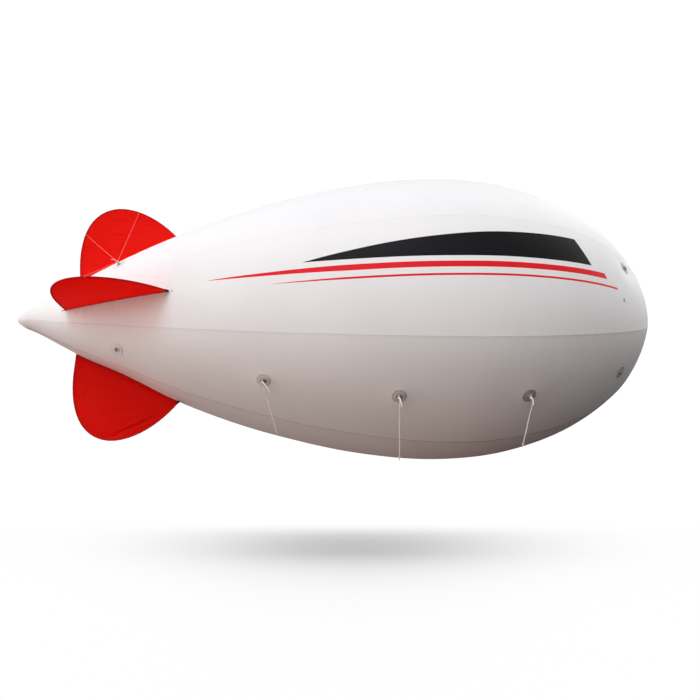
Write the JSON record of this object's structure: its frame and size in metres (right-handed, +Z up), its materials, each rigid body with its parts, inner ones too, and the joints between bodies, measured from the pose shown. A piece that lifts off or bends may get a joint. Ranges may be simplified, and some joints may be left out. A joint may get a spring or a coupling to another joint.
{
  "type": "advertising blimp balloon",
  "caption": "Tethered helium advertising blimp: pointed film hull of welded gores, rodded tail fins, mooring patches with rope tails and a lidded filling valve.",
  "frame": {"origin": "centre of lift, on the hull's axis 2.92 m from the tail tip", "axes": "+X along the hull towards the nose, +Z up, -Y the hull's right side"},
  "size_m": [5.0066, 2.2598, 2.3112],
  "materials": {
    "hull_film": "white welded vinyl film, semi-gloss",
    "fin_film": "red vinyl film, semi-gloss",
    "fin_rod": "dark red hem over a fibre rod",
    "patch": "grey welded reinforcement with webbing tab",
    "rope": "white twisted polyester rope",
    "stay": "white braided cord",
    "valve": "moulded grey-white plastic",
    "valve_lid": "moulded red plastic"
  },
  "bodies": {
    "hull": {"gore_right": "hull_film", "gore_lower_right": "hull_film", "gore_bottom": "hull_film", "gore_lower_left": "hull_film", "gore_left": "hull_film", "gore_upper_left": "hull_film", "gore_top": "hull_film", "gore_upper_right": "hull_film", "tail_cap": "hull_film", "nose_cap": "hull_film", "fin_right": "fin_film", "fin_rod_right": "fin_rod", "fin_flange_right": "hull_film", "fin_bottom": "fin_film", "fin_rod_bottom": "fin_rod", "fin_flange_bottom": "hull_film", "fin_left": "fin_film", "fin_rod_left": "fin_rod", "fin_flange_left": "hull_film", "fin_top": "fin_film", "fin_rod_top": "fin_rod", "fin_flange_top": "hull_film", "mooring_patch_rear_right": "patch", "mooring_rope_rear_right": "rope", "mooring_patch_rear_left": "patch", "mooring_rope_rear_left": "rope", "mooring_patch_middle_right": "patch", "mooring_rope_middle_right": "rope", "mooring_patch_middle_left": "patch", "mooring_rope_middle_left": "rope", "mooring_patch_front_right": "patch", "mooring_rope_front_right": "rope", "mooring_patch_front_left": "patch", "mooring_rope_front_left": "rope", "nose_patch_lower_right": "patch", "stay_patch_lower_right": "patch", "nose_patch_lower_left": "patch", "stay_patch_lower_left": "patch", "nose_patch_upper_left": "patch", "stay_patch_upper_left": "patch", "nose_patch_upper_right": "patch", "stay_patch_upper_right": "patch", "fin_stays_right": "stay", "fin_stays_left": "stay", "valve_base": "valve"},
    "lid": {"valve_lid": "valve_lid"}
  },
  "joints": [
    {"name": "valve_lid_hinge", "type": "hinge", "parent": "hull", "child": "lid", "pos_m": [-1.59963, 0.54505, -0.48848], "axis": [0.9278, 0.2639, -0.2639], "range_deg": [0, 150]}
  ]
}
